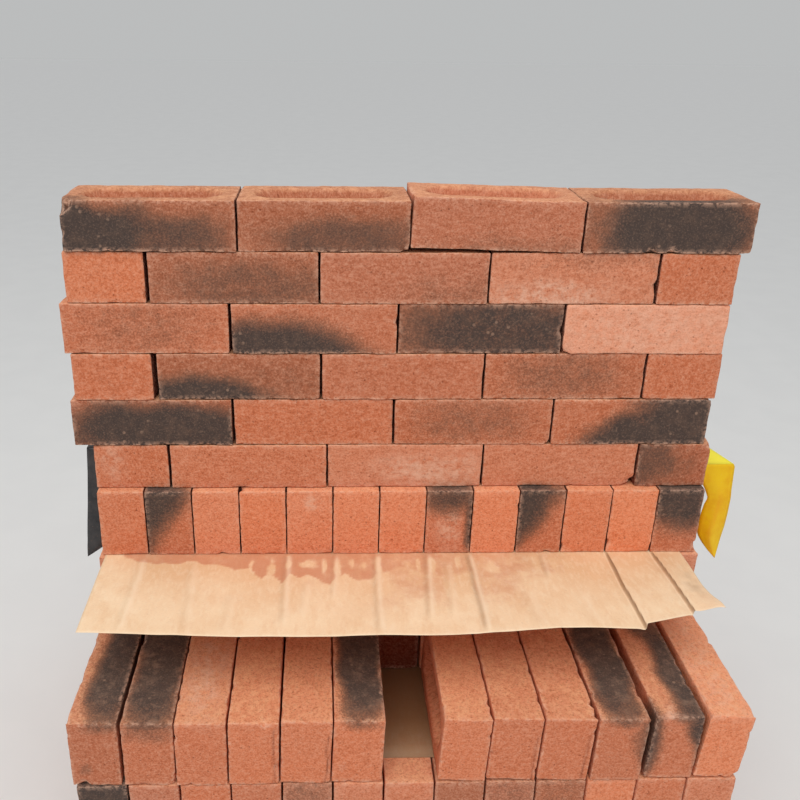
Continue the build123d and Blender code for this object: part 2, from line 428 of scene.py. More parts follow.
COURSE_LOOKS = {
    1: [Look(ORANGE, pales=[spot(-0.4, 0.2, 0.4, 0.6, 0.9, 0.4)]),
        Look(mixed(ORANGE, PINK, 0.4), chips=2),
        Look(PINK, pales=[spot(0.3, -0.2, 0.8, 0.6, 0.8, 0.55)]),
        Look(mixed(ORANGE, PINK, 0.7), corners=[((1, -1, -1), 16 * MM)]),
        Look(mixed(RUST, BROWN, 0.4), [spot(-1.1, 0.3, 1.9, 1, 2.6, 0.56, 1.2)])],
    2: [Look(RUST, [spot(0.2, -0.25, 1.5, 1.6, 1.35, 0.95, 2.2)],
             [spot(-0.8, 0.8, 0.5, 0.5, 0.6, 0.15)]),
        Look(ORANGE, chips=2),
        Look(BROWN_ORANGE, [spot(0, 0.1, 0.9, 0.9, 1.2, 0.3)]),
        Look(TAN_ORANGE, [spot(0.1, -1, 0.78, 1.6, 1.7, 1, 1.4),
                          spot(0.85, -0.3, 0.95, 1.6, 2.4, 1)], chips=2)],
    3: [Look(ORANGE),
        Look(BROWN, [spot(-0.6, -1.1, 1.3, 0.9, 1.3, 0.95, 1.7), spot(0.4, -0.3, 1, 0.9, 1, 0.2)]),
        Look(DUSKY_ORANGE, chips=2),
        Look(BROWN_ORANGE, [spot(0, 0, 0.95, 0.9, 1.4, 0.32)]),
        Look(ORANGE)],
    4: [Look(DULL_ORANGE, [spot(0, 0.1, 0.9, 0.9, 1.3, 0.22)], chips=2),
        Look(DUSKY_ORANGE, [spot(-0.5, -1, 1.25, 0.9, 1.5, 0.95, 1.7)]),
        Look(BROWN, [spot(0.32, -0.15, 1.55, 1.6, 1.6, 0.74, 2.6)],
             [spot(0.45, 0.35, 0.35, 0.5, 0.5, 0.3)]),
        Look(PALE, pales=[spot(0, 0, 1.4, 1, 1.4, 0.35)], chips=3)],
    5: [Look(mixed(BRIGHT, ORANGE, 0.5)),
        Look(BROWN, [spot(0.2, -0.4, 1.3, 0.9, 1.2, 0.42)], chips=2),
        Look(DUSKY, [spot(0.9, -0.9, 1.2, 1, 1.3, 0.26)]),
        Look(PINK, [spot(0.2, 1, 1.2, 1, 0.9, 0.16)],
             [spot(-0.3, -0.6, 0.8, 0.5, 0.6, 0.62)], chips=2),
        Look(ORANGE)],
    6: [Look(BROWN, [spot(-0.85, -0.35, 1.1, 1.3, 1.4, 1), spot(0.2, -0.45, 0.9, 0.8, 1.1, 0.62)],
             chips=2,
             corners=[((-1, -1, 1), 20 * MM), ((-0.97, -1, 0.75), 10 * MM), ((-1, -1, -0.3), 7 * MM)]),
        Look(BROWN, [spot(0.25, -0.55, 1.1, 0.8, 1.15, 0.55)], chips=2),
        Look(DUSKY, [spot(0.5, -1.1, 1.4, 1, 0.9, 0.26)], chips=2),
        Look(BROWN, [spot(0.12, -0.1, 1.1, 1.2, 1.7, 0.97), spot(0.05, -0.1, 1.6, 1.2, 2, 0.42)],
             [spot(-0.45, 0, 0.4, 0.4, 0.8, 0.42), spot(0.1, 0.5, 0.4, 0.4, 0.4, 0.35)], chips=2)],
}

SLANT_BURN = spot(-1.1, 1.1, 2.5, 0.9, 2.5, 0.9, 1)
HEADER_LOOKS = [
    Look(ORANGE),
    Look(BROWN_ORANGE, [SLANT_BURN]),
    Look(mixed(PINK, BRIGHT, 0.4), chips=2),
    Look(mixed(BRIGHT, ORANGE, 0.4)),
    Look(mixed(PINK, BRIGHT, 0.5), pales=[spot(0.3, 0.6, 0.4, 0.3, 0.3, 0.7)]),
    Look(mixed(BRIGHT, PINK, 0.3)),
    Look(mixed(BRIGHT, PINK, 0.3)),
    Look(DULL_ORANGE, [spot(0.1, 1, 1.5, 0.9, 0.9, 0.66), spot(1, 0.1, 0.5, 0.5, 1.2, 0.7)],
         [spot(-0.1, -0.2, 0.5, 0.4, 0.7, 0.6)]),
    Look(mixed(BRIGHT, PINK, 0.2)),
    Look(TAN_ORANGE, [SLANT_BURN]),
    Look(mixed(ORANGE, BRIGHT, 0.5)),
    Look(BRIGHT, chips=2),
    Look(BROWN_ORANGE, [spot(-0.1, 0.85, 1.9, 1.2, 1.2, 0.86)], [spot(0, 0.1, 0.5, 0.3, 0.4, 0.3)]),
]

LEDGE_LOOKS = [
    Look(mixed(ORANGE, BROWN, 0.7),
         [spot(0.45, 1, 1, 1.45, 0.4, 0.95, 3.4, y=0.25), spot(-0.4, -0.4, 0.3, 0.2, 0.2, 0.3)], chips=3),
    Look(TAN_ORANGE,
         [spot(0.05, 1, 1.25, 1.5, 0.4, 1, 3.4, y=0.25), spot(0, 0.9, 1.5, 0.3, 0.7, 0.36)],
         [spot(0.1, 1, 0.6, 0.5, 0.2, 0.4, y=-0.1)], chips=2),
    Look(ORANGE, pales=[spot(0, 1, 0.9, 0.9, 0.4, 0.55, y=-0.1)]),
    Look(BRIGHT_ORANGE, chips=2, score=0.9),
    Look(BRIGHT_ORANGE, chips=2, score=0.6),
    Look(BRIGHT_ORANGE, [spot(0.22, 1, 1, 1.45, 0.35, 1, 3.4, y=0.3)],
         [spot(-0.7, -0.5, 0.14, 0.2, 0.14, 1)], chips=2),
    Look(BRIGHT_ORANGE),
    Look(ORANGE, score=0.5),
    Look(ORANGE, chips=3, score=0.6),
    Look(TAN_ORANGE,
         [spot(0.12, 1, 1.05, 1.45, 0.35, 0.97, 3.4, y=0.25), spot(1.25, 0.5, 0.9, 0.5, 1.7, 0.5, 1.2)],
         chips=2),
    Look(mixed(ORANGE, BROWN, 0.2),
         [spot(0.7, 1, 0.9, 1.25, 0.35, 0.88, 3, y=-0.2), spot(0.2, 1, 0.8, 0.6, 0.35, 0.7, 2, y=0.9),
          spot(-1.2, 0.5, 0.8, 0.5, 2.3, 0.72, 1.2), spot(1.2, 0.7, 0.85, 0.5, 2.3, 0.8, 1.2)],
         [spot(0, 0.9, 0.6, 0.3, 0.15, 0.7)], chips=3),
    Look(BRIGHT, pales=[spot(0, 1, 1.2, 1.2, 0.3, 0.35, y=0)], chips=2, corners=[((1, -1, -1), 10 * MM)]),
]

# How burnt the bricks in the row under the ledge are, by number from the left
BELOW_BURNS = {0: 0.95, 4: 0.3, 8: 0.24, 9: 0.26}

# Bricks that are a little longer to the right than cut in the frame, by node and number from the left
LONGER_BRICKS = {("panel_course_1", 0): 1.5 * MM, ("panel_course_3", 0): 4.5 * MM,
                 ("panel_course_5", 0): 1.5 * MM}
# Left ends without painted joint shade, because daylight falls on them
LIT_LEFT_ENDS = {("panel_course_6", 2)}


def edge_chips(rng):
    """Small chips along the two long upper edges and the two upright front edges."""
    upper = [((side, rng.uniform(-1, 0.6), 1), rng.uniform(4.5, 8) * MM)
             for side in (-1, 1) for _ in range(3)]
    upright = [((side, -1, rng.uniform(-0.9, 0.9)), rng.uniform(3.5, 6) * MM) for side in (-1, 1)]
    return upper + upright


def stock_look(rng):
    """Look of a brick that the photograph doesn't show: about half of them are partly burnt."""
    burns = []
    if rng.random() < 0.34:
        end = rng.choice((-1, 1))
        burns.append(spot(rng.uniform(-0.6, 0.6), rng.uniform(-0.8, 0.8),
                          1.5, rng.uniform(0.3, 1.2), 1.3, rng.uniform(0.5, 1), y=end))
    if rng.random() < 0.3:
        side, y = rng.choice((-1, 1)), rng.uniform(-1, 1)
        burns.append(spot(side, rng.uniform(-1, 1),
                          0.8, rng.uniform(0.5, 1.1), 1.2, rng.uniform(0.4, 1), y=y))
    clays = (PINK, ORANGE, ORANGE, BRIGHT, DUSKY, BROWN)
    clay = mixed(clays[rng.integers(len(clays))], clays[rng.integers(len(clays))], rng.random())
    return Look(clay, burns, chips=int(rng.integers(0, 3)))


# Node helpers

class Nodes:
    """The node tree of a material or world, and short calls that add nodes to it. Its textures lie in
    object coordinates, or in those of the points of a piece."""

    def __init__(self, owner, local=False):
        owner.use_nodes = True
        self.owner = owner
        self.tree = owner.node_tree
        self.vector = self.attribute("local") if local else self.add("TexCoord").outputs["Object"]

    def fill(self, node, inputs):
        """Link the inputs that are sockets of other nodes and set the others."""
        for name, value in inputs.items():
            if isinstance(value, bpy.types.NodeSocket):
                self.tree.links.new(value, node.inputs[name])
            elif value is not None:
                node.inputs[name].default_value = value

    def add(self, kind, inputs=None):
        node = self.tree.nodes.new("ShaderNode" + kind)
        self.fill(node, inputs or {})
        return node

    def attribute(self, name, output="Vector"):
        node = self.add("Attribute")
        node.attribute_name = name
        return node.outputs[output]

    def marks(self):
        """The four marks of the points of a piece."""
        colours = self.add("SeparateColor", {0: self.attribute("look", "Color")}).outputs
        return (*colours, self.attribute("look", "Alpha"))

    def noise(self, scale, detail, rough, distortion=0, vector=None):
        node = self.add("TexNoise", {"Vector": vector or self.vector, "Scale": scale, "Detail": detail,
                                     "Roughness": rough, "Distortion": distortion})
        return node.outputs["Fac"]

    def stretched(self, scales, detail, rough, rotation=(0, 0, 0)):
        """Noise with a scale of its own along each axis."""
        node = self.add("Mapping", {"Vector": self.vector, "Scale": scales, "Rotation": rotation})
        return self.noise(1, detail, rough, 0, node.outputs[0])

    def cells(self, scale):
        return self.add("TexVoronoi", {"Vector": self.vector, "Scale": scale}).outputs["Distance"]

    def range(self, value, low, high, out_low=0, out_high=1):
        node = self.add("MapRange", {"Value": value, "From Min": low, "From Max": high,
                                     "To Min": out_low, "To Max": out_high})
        node.interpolation_type = "SMOOTHSTEP"
        return node.outputs[0]

    def math(self, operation, a, b):
        node = self.add("Math", {0: a, 1: b})
        node.operation = operation
        return node.outputs[0]

    def plus(self, a, b):
        return self.math("ADD", a, b)

    def times(self, a, b):
        return self.math("MULTIPLY", a, b)

    def mix(self, factor, a, b, blend="MIX"):
        node = self.add("Mix")
        node.data_type = "RGBA"
        node.blend_type = blend
        self.fill(node, {0: factor, 6: a, 7: b})
        return node.outputs[2]

    def bump(self, height, distance, strength):
        return self.add("Bump", {"Height": height, "Distance": distance, "Strength": strength}).outputs[0]

    def upward(self):
        """How far a surface faces up, from -1 to 1."""
        return self.add("SeparateXYZ", {0: self.add("NewGeometry").outputs["Normal"]}).outputs[2]

    def finish(self, colour, roughness, normal, specular):
        self.fill(self.tree.nodes["Principled BSDF"], {"Base Color": colour, "Roughness": roughness,
                                                       "Normal": normal, "Specular IOR Level": specular})
        return self.owner


# Brick material: sanded clay in each brick's colour, with burnt and pale spots

CLAY_DEEP = (0.84, 0.74, 0.66, 1)
CLAY_GRAIN = (0.6, 0.5, 0.44, 1)
CLAY_WARM = (1, 0.9, 0.82, 1)
PAINTED_SHADE_TONE = (0.62, 0.5, 0.44, 1)
SAND = tint(240, 190, 162)
# Pale colour of upward faces: dust, and partly a painted sheen of the sky light on top
TOP_DUST_AND_SHEEN = tint(248, 186, 140)
BURNT = tint(66, 59, 56)
BURNT_BROWN = tint(128, 88, 68)
BURNT_WARM = tint(98, 80, 70)
BURNT_SPECK = tint(150, 122, 104)
PALE_SMEAR = tint(236, 192, 166)


def brick_material(name, in_pieces):
    """Clay of the brick pieces, which carry their marks, or of the cores, which have none."""
    n = Nodes(bpy.data.materials.new(name), in_pieces)
    clay, burnt, hollow, arris, pale = ORANGE, 0, 0, 0, 0
    if in_pieces:
        clay = n.attribute("clay", "Color")
        burnt, hollow, arris, pale = n.marks()
    cloud = n.noise(16, 4, 0.6, 0.3)
    mottle = n.noise(75, 4, 0.65)
    coarse = n.noise(190, 3, 0.7)
    grain = n.noise(400, 3, 0.75)
    drag = n.stretched((85, 210, 210), 4, 0.65, (0, 0, 0.12))
    colour = clay
    for texture, low, high, share, tone, blend in (
            (cloud, 0.35, 0.7, 0.6, CLAY_WARM, "MULTIPLY"),
            (mottle, 0.48, 0.75, 0.55, CLAY_DEEP, "MULTIPLY"),
            (drag, 0.46, 0.66, 0.7, CLAY_DEEP, "MULTIPLY"),
            (coarse, 0.48, 0.66, 0.12, SAND, "MIX"),
            (coarse, 0.5, 0.34, 0.22, CLAY_GRAIN, "MULTIPLY"),
            (drag, 0.48, 0.34, 0.13, SAND, "MIX"),
            (grain, 0.5, 0.64, 0.18, SAND, "MIX"),
            (grain, 0.49, 0.36, 0.54, CLAY_GRAIN, "MULTIPLY")):
        colour = n.mix(n.range(texture, low, high, 0, share), colour, tone, blend)
    pits = n.range(n.cells(130), 0.1, 0.19, 1, 0)
    pits = n.times(pits, n.range(n.noise(55, 2, 0.5), 0.5, 0.58))
    colour = n.mix(n.times(pits, 0.75), colour, CLAY_GRAIN, "MULTIPLY")
    # Upward faces get pale dust, partly a painted sheen of the sky light
    top = n.times(n.range(n.upward(), 0.45, 0.9), n.range(mottle, 0.3, 0.7, 0.55, 1))
    dust = n.times(n.range(coarse, 0.36, 0.62, 0.3, 0.62), n.range(cloud, 0.35, 0.65, 0.75, 1.15))
    colour = n.mix(n.times(top, dust), colour, TOP_DUST_AND_SHEEN)
    dark_grain = n.times(top, n.range(grain, 0.47, 0.34, 0, 0.5))
    colour = n.mix(dark_grain, colour, CLAY_GRAIN, "MULTIPLY")
    # Painted shade from the shade mark: in the frogs, and over the brick at the slot's back
    colour = n.mix(n.times(hollow, 0.75), colour, PAINTED_SHADE_TONE, "MULTIPLY")
    smear = n.times(pale, n.range(n.noise(80, 5, 0.75), 0.36, 0.66))
    colour = n.mix(smear, colour, PALE_SMEAR)

    # Burnt spots: brown at the border, then dark with warm mottles, pale specks, and dust with a painted
    # sheen on top
    soft = n.plus(burnt, n.range(n.noise(55, 5, 0.7), 0.2, 0.8, -0.1, 0.1))
    soft = n.plus(soft, n.range(grain, 0.35, 0.65, 0.08, -0.08))
    near = n.range(burnt, 0, 0.12)
    brown = n.times(n.range(soft, 0, 0.55), near)
    black = n.times(n.range(soft, 0.26, 0.86), near)
    colour = n.mix(n.times(brown, 0.78), colour, BURNT_BROWN)
    dark = n.mix(n.range(mottle, 0.42, 0.72, 0, 0.62), BURNT, BURNT_WARM)
    dark = n.mix(n.range(grain, 0.5, 0.66, 0, 0.3), dark, BURNT_SPECK)
    burnt_top_dust_and_sheen = n.times(top, n.range(n.noise(60, 5, 0.75), 0.47, 0.68, 0.08, 0.55))
    dark = n.mix(burnt_top_dust_and_sheen, dark, BURNT_SPECK)
    speck = n.range(n.cells(95), 0.14, 0.27, 1, 0)
    speck = n.times(speck, n.range(n.noise(38, 3, 0.6), 0.5, 0.64))
    dark = n.mix(n.times(speck, 0.75), dark, BURNT_SPECK)
    colour = n.mix(n.times(black, 0.92), colour, dark)

    rag = n.times(arris, n.range(n.noise(150, 4, 0.7), 0.42, 0.58))
    colour = n.mix(n.times(rag, 0.62), colour, SAND)
    height = n.times(grain, 0.7)
    for texture, share in ((mottle, 0.8), (coarse, 1), (drag, 0.5), (pits, -0.6)):
        height = n.plus(height, n.times(texture, share))
    rough = n.range(mottle, 0.2, 0.8, 0.82, 0.97)
    return n.finish(colour, rough, n.bump(height, 1.1 * MM, 0.85), 0.2)


brick = brick_material("brick_sanded_clay", True)
core_clay = brick_material("brick_core_clay", False)


# Bricks of the pack and the panel

FRONT_ROW_Y = -0.4
SLOT_TOLERANCE = 20 * MM


def pack_cells(one):
    """Coarse cells, finer on a frogged face, which lies along the two longer sides."""
    if not one["frog"]:
        return (CELL_PACK,) * 3
    return tuple(CELL_PACK if k == one["frog"][0] else CELL_FROG_FACE for k in range(3))


def seeded(name):
    return np.random.default_rng(sum(ord(letter) * (i + 3) for i, letter in enumerate(name)))


front_row = [one["centre"] for one in bricks_of("pack_layer_7") if one["centre"][1] < FRONT_ROW_Y]
SLOT_X = (front_row[5][0] + front_row[6][0]) / 2


def make_layer(layer):
    """The bricks of a pack layer that show; the front rows of layers 6 and 7 have looks of their own."""
    node = f"pack_layer_{layer}"
    rng = seeded(node)
    parts, ledge = [], []
    front_number = 0
    for one in bricks_of(node):
        look = stock_look(rng)
        x, y, _ = one["centre"]
        # The brick at the slot's back gets the darker clay and full painted shade
        if layer == 7 and abs(x - SLOT_X) < SLOT_TOLERANCE and y < 0:
            look = Look(SLOT_BACK_PAINTED_SHADE, chips=0)
        if y > FRONT_ROW_Y or layer == 8:
            part = brick_mesh(one, pack_cells(one), look, rng, COARSE_TICKS)
            if look.clay == SLOT_BACK_PAINTED_SHADE:
                part[MARKS][:, SHADE] = 1
            parts.append(part)
            continue
        if layer == 7:
            look = LEDGE_LOOKS[front_number]
            look = look._replace(corners=list(look.corners) + edge_chips(rng))
            near = SCORED_TICKS if look.score else ARRIS_TICKS
            ledge.append(brick_mesh(one, CELLS_LEDGE, look, rng, near))
        else:
            if layer == 6:
                strength = BELOW_BURNS.get(front_number)
                look = look._replace(burns=[spot(0, 0.6, 1.8, 0.5, 1.5, strength)] if strength else ())
            parts.append(brick_mesh(one, CELLS_FRONT, look, rng, COARSE_TICKS))
        front_number += 1
    make_piece(f"bricks_layer_{layer}", node, brick, parts)
    if ledge:
        make_piece("bricks_ledge_row", node, brick, ledge)


def make_course(name, node, cells, looks, tone=(1, 1, 1, 1), above=None):
    """A course of the panel. Its bricks' ends bulge inside the joints, meet there, and are dark with painted
    shade.
    """
    rng = seeded(name)
    bricks = sorted(bricks_of(node), key=lambda one: one["centre"][0])
    ends = [(one["centre"][0] - one["half"][0], one["centre"][0] + one["half"][0]) for one in bricks]
    longer = [LONGER_BRICKS.get((node, number), 0) for number in range(len(bricks))]
    gaps = [max(0, right[0] - left[1] - more) for left, right, more in zip(ends, ends[1:], longer)]
    bulges = [0] + [gap / 2 + BULGE_MEETS if gap else 0 for gap in gaps] + [0]
    parts = []
    for number, (one, more) in enumerate(zip(bricks, longer)):
        one["half"] = one["half"] + np.array((more / 2, 0, 0))
        one["centre"] = one["centre"] + one["axes"][0] * more / 2
        # Painted shade on the ends between bricks, and on the top face under the course above
        joints = [(0, -1, -1, 1)] if number and (node, number) not in LIT_LEFT_ENDS else []
        if number + 1 < len(bricks):
            joints.append((0, 1, -1, 1))
        if above:
            low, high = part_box(above)
            joints.append((2, 1, low[0] + COVERED_MARGIN, high[0] - COVERED_MARGIN))
        tongues = bulges[number:number + 2]
        part = brick_mesh(one, cells, looks[number], rng, ARRIS_TICKS, tongues, joints)
        part[CLAY][:] *= tone
        parts.append(part)
    make_piece(name, node, brick, parts)


for layer in range(1, 9):
    make_layer(layer)
make_course("bricks_header_course", "panel_header_course", CELLS_HEADER, HEADER_LOOKS)
for course, looks in COURSE_LOOKS.items():
    cells = CELLS_TOP_COURSE if course == 6 else CELLS_COURSE
    above = f"panel_course_{course + 1}" if course < 6 else None
    make_course(f"bricks_course_{course}", f"panel_course_{course}", cells, looks, COURSE_TONE, above)

for node in ("pack_core_lower", "pack_core_upper"):
    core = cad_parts[node]
    core.data.materials.clear()
    core.data.materials.append(core_clay)


# Kraft paper

PAPER_LIGHT = tint(250, 220, 182)
PAPER_TAN = tint(236, 194, 150)
PAPER_DARK = tint(116, 78, 46)
PAPER_SHEEN = tint(255, 232, 200)
BRICK_DUST = tint(204, 126, 92)
PAPER_SKIN = 0.35 * MM


def paper_material():
    n = Nodes(bpy.data.materials.new("kraft_paper"))
    dust, shade, painted_shade_and_smudge, light = n.marks()
    fibre = n.stretched((300, 1100, 600), 4, 0.6)
    cloud = n.noise(11, 4, 0.55, 0.6)
    blotch = n.noise(60, 5, 0.7, 0.5)
    colour = n.mix(n.plus(shade, n.range(cloud, 0.3, 0.7, -0.25, 0.25)), PAPER_TAN, PAPER_LIGHT)
    for scales, detail, roughness, share, tone in (((60, 26, 40), 4, 0.65, 0.45, PAPER_TAN),
                                                   ((190, 70, 100), 3, 0.6, 0.28, PAPER_SHEEN)):
        wrinkle = n.stretched(scales, detail, roughness)
        colour = n.mix(n.range(wrinkle, 0.45, 0.68, 0, share), colour, tone)
    colour = n.mix(n.range(fibre, 0.5, 0.75, 0, 0.14), colour, PAPER_DARK)
    ragged = n.plus(dust, n.range(blotch, 0.2, 0.8, -0.16, 0.16))
    cover = n.times(n.range(ragged, 0.1, 0.9), n.range(dust, 0, 0.15))
    colour = n.mix(n.times(cover, 0.68), colour, BRICK_DUST)
    crumbs = n.times(n.range(n.cells(300), 0.05, 0.26, 1, 0), n.range(dust, 0.3, 0.8))
    colour = n.mix(n.times(crumbs, 0.35), colour, RUST)
    # Painted highlight from the light mark; painted shade, and a dark smudge, from the next mark
    colour = n.mix(n.times(light, 0.7), colour, PAPER_SHEEN)
    colour = n.mix(n.times(painted_shade_and_smudge, 0.92), colour, PAPER_DARK)
    bump = n.bump(n.plus(fibre, n.times(crumbs, 2)), 0.25 * MM, 0.5)
    return n.finish(colour, n.range(fibre, 0.2, 0.8, 0.55, 0.75), bump, 0.3)


paper = paper_material()

top_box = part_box("paper_sheet_top")
lower_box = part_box("paper_sheet_lower")
PAPER_LEFT, PAPER_RIGHT = top_box[0][0], top_box[1][0]
PANEL_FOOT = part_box("panel_header_course")[0][1]
ROW_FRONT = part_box("pack_layer_8")[0][1]

# Front outline of the top sheet, left to right
TOP_FRONT = np.array((
    (-422.5, -491), (-370, -493.5), (-217, -503), (-141, -505), (80, -503), (188, -491.5), (299, -492),
    (302.7, -484.4), (368.8, -464.6), (372.5, -460.6), (405.5, -473),
)) * MM
# Front limit of the brick dust on the paper and how strong the dust is, left to right
DUST_EDGE = np.array((
    (-416, -312), (-389, -326), (-360, -342), (-300, -339), (-257, -349), (-235, -359), (-214, -357),
    (-204, -372), (-196, -379), (-189, -365), (-178, -379), (-168, -393), (-158, -370), (-144, -377),
    (-130, -373), (-103, -394), (-95, -380), (-82, -371), (-62, -385), (-45, -381), (-30, -366), (-5, -357),
    (22, -374), (49, -382), (92, -368), (129, -394), (194, -383), (239, -369), (283, -340), (300, -322),
    (420, -318),
)) * MM
DUST_STRENGTH = (
    (-0.42, 0.75), (-0.24, 0.85), (-0.17, 0.9), (-0.09, 0.8), (-0.02, 0.62), (0.06, 0.55), (0.13, 0.5),
    (0.2, 0.34), (0.25, 0.22), (0.3, 0.08), (0.42, 0.03),
)
# Clean drops left in the dust: centre, half width and half length
CLEAN_DROPS = np.array((
    (-213, -348, 3, 12), (-184, -356, 5, 22), (-161, -345, 4, 18), (-133, -346, 13, 9),
    (-110, -350, 3.5, 15), (-92, -362, 4.5, 20), (-72, -345, 3, 10), (-55, -352, 4, 8),
    (-35, -352, 4.5, 26), (5, -345, 5, 7), (22, -352, 3, 14), (41, -350, 4.5, 18), (62, -362, 8, 8),
    (78, -345, 3, 14), (102, -352, 4, 20), (125, -357, 8, 12), (150, -347, 5, 6), (165, -372, 8, 6),
    (190, -350, 4.5, 16), (214, -345, 4, 14), (232, -352, 5, 9),
)) * MM
# Creases: x in mm at the panel's foot, halfway and at the front, where it starts and ends from foot 0 to
# front 1, height and half width in mm, how dark its shaded side is and how light its other side is
CREASES = (
    (-366, -366, -368, 0.05, 1, 1.2, 6, 0.08, 0.5), (-294, -289, -284, 0.1, 1, 0.7, 7, 0.07, 0.26),
    (-161, -162, -162, 0, 0.9, 1.3, 6, 0.16, 0.5), (-93, -97, -102, 0, 0.6, 0.8, 5, 0.12, 0.32),
    (-33, -38, -39, 0, 1, 1.3, 5.5, 0.2, 0.52), (39, 32, 24, 0, 0.85, 1.2, 5.5, 0.22, 0.5),
    (98, 98, 97, 0, 1, 1.7, 5, 0.4, 0.6), (203, 200, 198, 0, 0.4, 0.9, 4.5, 0.18, 0.32),
    (168, 166, 170, 0.5, 1, 0.6, 9, 0.06, 0.3), (-222, -230, -236, 0.5, 1, 0.5, 8, 0.05, 0.25),
    (66, 62, 56, 0.1, 0.8, 0.7, 6, 0.1, 0.28), (-130, -134, -140, 0.35, 0.8, 0.5, 6, 0.05, 0.28),
    (232, 236, 240, 0.55, 1, 0.5, 9, 0.04, 0.3),
)
# Pleats: left side of the shaded band at the foot, halfway and at the front
PLEATS = (mm(295, 293.5, 297), mm(361, 366, 369.5))
PLEAT_BAND, PLEAT_HEIGHT = mm(3.6, 3)
# The front edge's right tip, which curls up between these limits, and a dark smudge near it
TIP_X, TIP_Y = (0.372, 0.405), (-0.4, -0.475)
TIP_CURL = 15 * MM
SMUDGE_AT, SMUDGE_SIZE = (0.392, -0.4), (0.012, 0.03)

# Distance between the grid's columns over a pleat, a crease and elsewhere, and between its rows
STEP_PLEAT, STEP_CREASE, STEP_PLAIN = mm(1, 1.8, 4)
CREASE_REACH = 9 * MM
PLEAT_REACH = mm(6, 14)
STEP_ROWS, STEP_HIDDEN_ROWS, STEP_LOWER = mm(3.6, 30, 24)


def front_line(x):
    return np.interp(x, *TOP_FRONT.T)


def forward_of(x, y):
    """How far forward of the panel's foot a point is: 0 at the foot, 1 at the sheet's front edge."""
    return np.clip((PANEL_FOOT - y) / (PANEL_FOOT - front_line(x)), -0.5, 1)


def beside(x, y, line):
    """Distance to the right of a line given by its x at the foot, halfway and at the front."""
    return x - np.interp(forward_of(x, y), (0, 0.5, 1), line)


def crease_parts(x, y, crease):
    """Distance from a crease in its half widths, how far it shows, height, dark and light side."""
    start, end, height, width, dark, light = crease[3:]
    line = mm(*crease[:3])
    forward = forward_of(x, y)
    wander = (noise(np.stack((x * 0, y, y * 0 + line[0]), axis=1), 35, 11) - 0.5) * 2 * MM
    away = beside(x, y, line) + wander
    shown = ramp(forward, start - 0.02, start + 0.08) * ramp(forward, end + 0.02, end - 0.12)
    return away / (width * MM), shown, height, dark, light


def level(x, y):
    return np.stack((x, y, np.zeros_like(x)), axis=1)


def sheet_piece(name, xs, ys, lift, look, node, front=None):
    """A paper sheet on a grid, lifted and marked by functions of x and y.

    The marks are dust, paleness, painted shade with a smudge, and painted highlight. Rows before the panel
    bend to the front line.
    """
    x, y = np.meshgrid(xs, ys, indexing="ij")
    if front is not None:
        share = (y - PANEL_FOOT) / (ys[0] - PANEL_FOOT)
        y = np.where(y < PANEL_FOOT, PANEL_FOOT + share * (front(x) - PANEL_FOOT), y)
    x, y = x.ravel(), y.ravel()
    points = np.stack((x, y, lift(x, y)), axis=1)
    marks = look(x, y)
    part = (points, grid_quads(len(xs), len(ys)), np.ones_like(marks), marks, points)
    piece = make_piece(name, node, paper, [part], PAPER_SKIN, 1)


def top_lift(x, y):
    """Height of the top sheet: lumps where it hangs free, creases, pleats and tip, flat under the panel."""
    flat = level(x, y)
    free = np.clip((ROW_FRONT - y) / (ROW_FRONT - top_box[0][1]), 0, 1)
    z = np.full(len(x), top_box[0][2])
    z += free * (noise(flat, 6, 1) - 0.5) * 5 * MM + free * (noise(flat, 15, 2) - 0.5) * 3 * MM
    z += np.clip(free * 3, 0.2, 1) * (noise(flat, 40, 3) - 0.5) * 1.3 * MM
    for crease in CREASES:
        away, shown, height, _, _ = crease_parts(x, y, crease)
        z += np.exp(-away ** 2) * shown * height * MM
    for line in PLEATS:
        away = beside(x, y, line)
        step = 0.3 * PLEAT_BAND
        rise = ramp(away, step, PLEAT_BAND) - 0.5 * ramp(away, -9 * MM, 0) * (away < step)
        z += PLEAT_HEIGHT * rise * np.clip(1 - away / 0.06, 0, 1) * ramp(forward_of(x, y), -0.05, 0.15)
    z += TIP_CURL * ramp(x, *TIP_X) * ramp(y, *TIP_Y)
    return np.where(y > PANEL_FOOT + 3 * MM, top_box[0][2] + 0.05 * MM, z)


